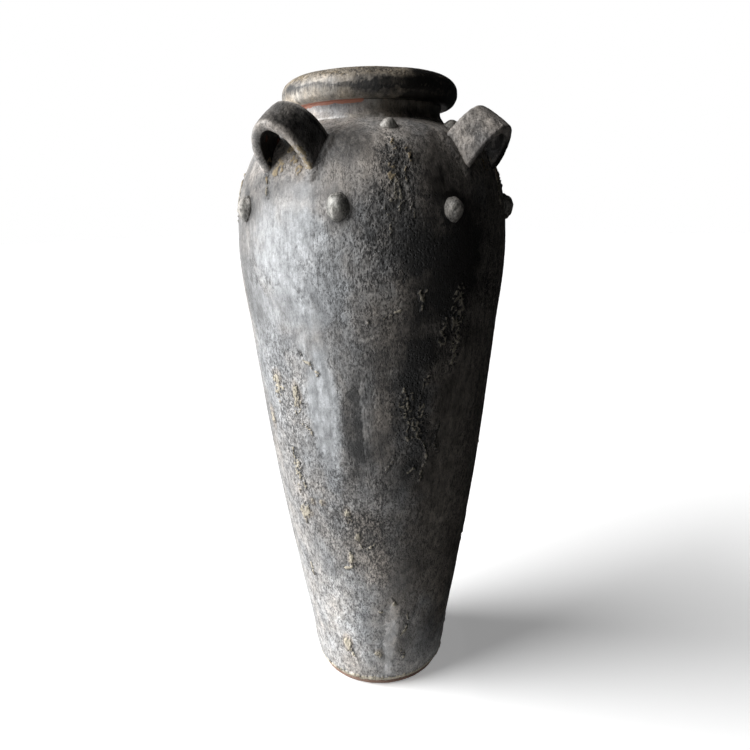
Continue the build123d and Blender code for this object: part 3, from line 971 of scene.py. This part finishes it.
class Wire:  # an output in a node tree, so that sums on it make its maths nodes
    def __init__(self, tree, socket):
        self.tree = tree
        self.socket = socket

    def through(self, made, *values):  # on through a new node that these are fed into
        for value, socket in zip(values, made.inputs):
            feed(value, socket, self.tree)
        return Wire(self.tree, made.outputs[0])

    def maths(self, how, first, second):
        made = self.tree.nodes.new("ShaderNodeMath")
        made.operation = how
        return self.through(made, first, second)

    def __add__(self, other):
        return self.maths("ADD", self, other)

    def __sub__(self, other):
        return self.maths("SUBTRACT", self, other)

    def __rsub__(self, other):
        return self.maths("SUBTRACT", other, self)

    def __mul__(self, other):
        return self.maths("MULTIPLY", self, other)

    def larger(self, other):
        return self.maths("MAXIMUM", self, other)

    def smaller(self, other):
        return self.maths("MINIMUM", self, other)

    def above(self, level):
        return self.maths("GREATER_THAN", self, level)

    def ranged(self, low, high, toLow, toHigh, kind="LINEAR"):
        made = self.tree.nodes.new("ShaderNodeMapRange")
        made.interpolation_type = kind
        return self.through(made, self, low, high, toLow, toHigh)

    def eased(self, low, high, toLow=0, toHigh=1):
        return self.ranged(low, high, toLow, toHigh, "SMOOTHSTEP")


def feed(value, socket, tree):  # a wire is linked, a number or a colour is set
    if isinstance(value, Wire):
        tree.links.new(value.socket, socket)
    else:
        socket.default_value = value if isinstance(value, (int, float)) else (*value, 1)


def speckle(tree, place, scale, squeeze=1, detail=3, rough=0.55):  # clouds, tall ones where squeeze is small
    spread = tree.nodes.new("ShaderNodeMapping")
    spread.inputs["Scale"].default_value = (scale, scale, scale * squeeze)
    tree.links.new(place, spread.inputs["Vector"])
    made = tree.nodes.new("ShaderNodeTexNoise")
    for name, value in (("Scale", 1.0), ("Detail", detail), ("Roughness", rough)):
        made.inputs[name].default_value = value
    tree.links.new(spread.outputs[0], made.inputs["Vector"])
    return Wire(tree, made.outputs["Fac"])


def pitCells(tree, place, scale):  # round holes, about half of the cells have one
    made = tree.nodes.new("ShaderNodeTexVoronoi")
    made.inputs["Scale"].default_value = scale
    tree.links.new(place, made.inputs["Vector"])
    split = tree.nodes.new("ShaderNodeSeparateColor")
    tree.links.new(made.outputs["Color"], split.inputs["Color"])
    hollow = Wire(tree, made.outputs["Distance"]).eased(0.15, 0.5, 1, 0)
    return hollow * Wire(tree, split.outputs[0]).above(0.5)


def blended(tree, amount, a, b, how="MIX"):
    made = tree.nodes.new("ShaderNodeMix")
    made.data_type = "RGBA"
    made.blend_type = how
    for value, socket in ((amount, made.inputs[0]), (a, made.inputs[6]), (b, made.inputs[7])):
        feed(value, socket, tree)
    return Wire(tree, made.outputs[2])


def markOf(tree, name):
    made = tree.nodes.new("ShaderNodeAttribute")
    made.attribute_name = name
    return Wire(tree, made.outputs["Fac"])


def smokedClay(name, look):
    finish = bpy.data.materials.new(name)
    finish.use_nodes = True
    tree = finish.node_tree
    shader = tree.nodes["Principled BSDF"]
    place = tree.nodes.new("ShaderNodeTexCoord").outputs["Object"]
    crustMark, burnish, bareMark, tone, rough, warm = [markOf(tree, mark) for mark in markNames]

    wide = speckle(tree, place, 6, 1, 4)
    cloudy = speckle(tree, place, 24, 0.7, 5, 0.6)
    streak = speckle(tree, place, 75, 0.06, 4, 0.6)
    hairs = speckle(tree, place, 330, 0.035, 2, 0.6)
    grain = speckle(tree, place, 900, 1, 2)
    flake = speckle(tree, place, 120, 1, 4, 0.65)
    blotch = speckle(tree, place, 85, 0.55, 4, 0.6)
    fine = speckle(tree, place, look["mottle"], 0.5, 3, 0.72)
    patchy = speckle(tree, place, look["mottle"] * 0.36, 0.5, 5, 0.65)
    mottle = fine * 0.62 + patchy * 0.38

    # tone of the smoked skin, darker in the holes and pits between what was rubbed
    warmth = (warm * 0.5 + cloudy).eased(0.15, 0.95)
    shade = (tone + (wide - 0.5) * 1.3 + (cloudy - 0.5) * 1.1 + (streak - 0.5) * 1.4 * burnish
             + (hairs - 0.5) * 1.1 * burnish.ranged(0, 1, 0.35, 1))
    unrubbed = 1 - burnish * 0.85
    holes = pitCells(tree, place, look["mottle"] * 0.75) * unrubbed * rough.ranged(0, 1, 0.25, 1.0)
    wideHoles = pitCells(tree, place, look["mottle"] * 0.42) * unrubbed * rough.ranged(0.55, 1, 0, 1)
    holes = holes.larger(wideHoles)
    pitEdge = rough.ranged(0, 1, 0.37, 0.43)
    pits = mottle.eased(pitEdge, pitEdge + 0.20) * (1 - holes)
    pitDark = rough.ranged(0, 1, 0.24, 0.05).larger(burnish * 0.84)
    pitTop = rough.ranged(0, 1, 1.22, 1.85)
    pitGain = pitDark + pits * (pitTop - pitDark)
    shadeGain = shade.ranged(-1.4, 1.6, 0.03, 2.12)
    grainGain = grain.ranged(0.3, 0.7, 0.80, 1.18)
    blotchGain = blotch.ranged(0.3, 0.7, 0.54, 1.42)
    colour = blended(tree, warmth, look["cool"], look["warm"])
    colour = blended(tree, 1.0, colour, shadeGain * pitGain * grainGain * blotchGain, "MULTIPLY")

    # bare red clay, then pale crust over everything
    bareMask = (bareMark + (flake - 0.5) * 0.9).eased(0.40, 0.62)
    colour = blended(tree, bareMask, colour, blended(tree, cloudy, look["bareDark"], look["bare"]))
    crustMask = (crustMark + (flake - 0.5) * 1.1).eased(0.38, 0.62)
    crustTone = blended(tree, mottle.ranged(0.35, 0.65, 0, 1), look["crustDark"], look["crust"])
    crustTone = blended(tree, 1.0, crustTone, tone.ranged(-1.0, 1.0, 0.5, 1.25), "MULTIPLY")
    colour = blended(tree, crustMask * look["crustCover"], colour, crustTone)

    # satin where it was rubbed, dull in pits, crust and bare clay
    dull = (burnish * -0.20 + look["dull"] + pits * -0.14 + (cloudy - 0.5) * 0.25 + crustMask * 0.3
            + bareMask * 0.2)
    relief = (mottle * 0.9 * unrubbed + holes * -0.5 + grain * 0.10 + streak * 0.12 * burnish
              + flake * crustMask * 0.8)
    bump = tree.nodes.new("ShaderNodeBump")
    bump.inputs["Distance"].default_value = 0.0016
    bump.inputs["Strength"].default_value = look["bump"]
    feed(relief, bump.inputs["Height"], tree)
    tree.links.new(bump.outputs["Normal"], shader.inputs["Normal"])
    feed(colour, shader.inputs["Base Color"], tree)
    feed(dull.smaller(0.95), shader.inputs["Roughness"], tree)
    feed(look["gloss"], shader.inputs["Specular IOR Level"], tree)
    return finish


wallLook = {
    "cool": (0.278, 0.287, 0.297), "warm": (0.290, 0.262, 0.235),
    "bare": (0.36, 0.135, 0.080), "bareDark": (0.17, 0.075, 0.050),
    "crust": (0.74, 0.68, 0.55), "crustDark": (0.34, 0.305, 0.24), "crustCover": 0.94,
    "mottle": 400, "dull": 0.62, "gloss": 0.5, "bump": 1.0,
}
looks = {
    "burnished_wall": wallLook,
    "burnished_shoulder": {**wallLook, "crust": (0.58, 0.46, 0.29), "crustDark": (0.30, 0.24, 0.15)},
    "weathered_neck": {**wallLook, "warm": (0.300, 0.258, 0.205), "crust": (0.36, 0.29, 0.19),
                       "crustDark": (0.17, 0.140, 0.10), "crustCover": 0.7, "gloss": 0.4,
                       "bare": (0.60, 0.28, 0.195), "bareDark": (0.40, 0.17, 0.115)},
    # the handles' bare clay shows only inside their openings, and its colours are near black: painted shade
    "weathered_handle": {**wallLook, "crust": (0.50, 0.42, 0.28), "crustDark": (0.22, 0.17, 0.11),
                         "gloss": 0.25, "bare": (0.14, 0.050, 0.032), "bareDark": (0.05, 0.026, 0.020)},
    "rubbed_pellet": {**wallLook, "cool": (0.30, 0.31, 0.29), "mottle": 420},
    "bare_clay": {**wallLook, "bare": (0.38, 0.250, 0.195), "bareDark": (0.24, 0.155, 0.12), "gloss": 0.3},
}
finishes = {slot: smokedClay(slot, look) for slot, look in looks.items()}
slotOf = {
    "clayCourse": "burnished_wall", "clayShoulder": "burnished_shoulder", "clayCollar": "weathered_neck",
    "clayRim": "weathered_neck", "clayStrap": "weathered_handle", "claySlab": "bare_clay",
    "clayPellet": "rubbed_pellet", "clayButton": "rubbed_pellet",
}
for piece in list(bpy.data.objects):
    slot = slotOf.get(piece.name.rstrip("0123456789"))
    if slot:
        piece.data.materials.clear()
        piece.data.materials.append(finishes[slot])
print("finishes done")


# Floor, light and camera

studio = {
    "floorSize": 40.0, "floorColour": (0.985, 0.985, 0.985), "floorBounce": (0.46, 0.46, 0.46),
    "floorGlow": 0.28, "ambient": 0.015,
    "keyTurn": -79.5, "keyRise": 33.0, "keyPower": 4.75, "keyAngle": 46.0,
    "stripTurn": -93.0, "stripOut": 1.5, "stripSize": (1.0, 1.5), "stripPower": 16.0,
    "clothLeft": 0.16, "clothRight": 1.3, "clothFront": -1.7, "clothBack": 5.0, "clothLift": 0.004,
    "clothHeight": 2.4, "clothOver": 2.0, "clothRun": 13.0, "clothSpread": 3.0,
    "cameraTurn": 36.0, "cameraOut": 1.085, "cameraUp": 0.808, "pitch": -14.17, "roll": -1.12, "lens": 31.32,
}


def seenRays(tree):  # 1 for what the camera sees, straight, mirrored or through something
    path = tree.nodes.new("ShaderNodeLightPath")
    straight, mirrored, through = [Wire(tree, path.outputs["Is %s Ray" % kind])
                                   for kind in ("Camera", "Glossy", "Transmission")]
    return straight.larger(mirrored).larger(through)


def towards(turn, rise=0.0):  # away from the jar, degrees round from the camera and degrees up
    around = math.radians(studio["cameraTurn"] + turn)
    up = math.radians(rise)
    return Vector((math.sin(around) * math.cos(up), -math.cos(around) * math.cos(up), math.sin(up)))


letGo()
bpy.ops.mesh.primitive_plane_add(size=studio["floorSize"], location=(0, 0, 0))
floor = bpy.context.object
floor.name = "floor"
paper = bpy.data.materials.new("paper")
paper.use_nodes = True
tree = paper.node_tree
shader = tree.nodes["Principled BSDF"]
shader.inputs["Roughness"].default_value = 0.9
shader.inputs["Specular IOR Level"].default_value = 0.0
seen = seenRays(tree)
feed(blended(tree, seen, studio["floorBounce"], studio["floorColour"]), shader.inputs["Base Color"], tree)
shader.inputs["Emission Color"].default_value = (1, 1, 1, 1)
feed(seen * studio["floorGlow"], shader.inputs["Emission Strength"], tree)
floor.data.materials.append(paper)

letGo()  # dark cloth on the right, overhead, behind the camera and on the floor, out of the camera's sight
bpy.ops.mesh.primitive_plane_add(size=1)
cloth = bpy.context.object
cloth.name = "darkCloth"
co = pointsOf(cloth)
co[:, 0] = np.where(co[:, 0] > 0, studio["clothRight"], studio["clothLeft"])
co[:, 1] = np.where(co[:, 1] > 0, studio["clothBack"], studio["clothFront"])
co[:, 2] = studio["clothLift"]
putPoints(cloth, co)


def drawOut(edge, *moves):  # pulls an edge of the cloth out, move by move
    chosenOnly(cloth, verts=edge)
    editing(cloth)
    for move in moves:
        bpy.ops.mesh.extrude_edges_move(TRANSFORM_OT_translate={"value": move})
    doneEditing()
    return pointsOf(cloth)


near = 0.1
hang = (0, 0, studio["clothHeight"])
co = drawOut(co[:, 0] > studio["clothRight"] - near, hang, (-studio["clothOver"], 0, 0))
co = drawOut((co[:, 1] < studio["clothFront"] + near) & (co[:, 2] < near), (0, -0.01, 0), hang)
co = drawOut(co[:, 1] > studio["clothBack"] - near, (0, studio["clothRun"], 0))  # its end is out of sight
leftEnd = (co[:, 1] > studio["clothBack"] + near) & (co[:, 0] < studio["clothRight"] - near)
co[leftEnd & (co[:, 2] < near), 0] -= studio["clothSpread"]  # and it spreads behind the jar
putPoints(cloth, co)
cloth.matrix_world = Matrix.Rotation(math.radians(studio["cameraTurn"]), 4, "Z")
settle(cloth)
cloth.visible_camera = False
cloth.visible_shadow = False
black = bpy.data.materials.new("blackCloth")
black.use_nodes = True
shader = black.node_tree.nodes["Principled BSDF"]
shader.inputs["Base Color"].default_value = (0.01, 0.01, 0.01, 1)
shader.inputs["Specular IOR Level"].default_value = 0.0
cloth.data.materials.append(black)

world = bpy.data.worlds.new("studioWorld")
bpy.context.scene.world = world
world.use_nodes = True
tree = world.node_tree
back = tree.nodes["Background"]
back.inputs["Color"].default_value = (1, 1, 1, 1)
feed(seenRays(tree).ranged(0, 1, studio["ambient"], 1.0), back.inputs["Strength"], tree)

letGo()
bpy.ops.object.light_add(type="SUN", location=(0, 0, 3))
key = bpy.context.object
key.data.energy = studio["keyPower"]
key.data.angle = math.radians(studio["keyAngle"])
key.rotation_euler = towards(studio["keyTurn"], studio["keyRise"]).to_track_quat("Z", "Y").to_euler()

letGo()  # a tall soft panel on the left lights the lower wall as well
bpy.ops.object.light_add(type="AREA")
strip = bpy.context.object
strip.data.shape = "RECTANGLE"
strip.data.size, strip.data.size_y = studio["stripSize"]
strip.data.energy = studio["stripPower"]
toStrip = towards(studio["stripTurn"])
strip.location = toStrip * studio["stripOut"] + Vector((0, 0, studio["stripSize"][1] / 2))
strip.rotation_euler = toStrip.to_track_quat("Z", "Y").to_euler()

letGo()
bpy.ops.object.camera_add()
camera = bpy.context.object
aim = (Matrix.Rotation(math.radians(studio["cameraTurn"]), 4, "Z")
       @ Matrix.Rotation(math.radians(90 + studio["pitch"]), 4, "X")
       @ Matrix.Rotation(math.radians(studio["roll"]), 4, "Z"))
aim.translation = towards(0) * studio["cameraOut"] + Vector((0, 0, studio["cameraUp"]))
camera.matrix_world = aim
camera.data.sensor_width = 36
camera.data.lens = studio["lens"]
bpy.context.scene.camera = camera
bpy.context.scene.view_settings.view_transform = "Standard"
print("studio set")
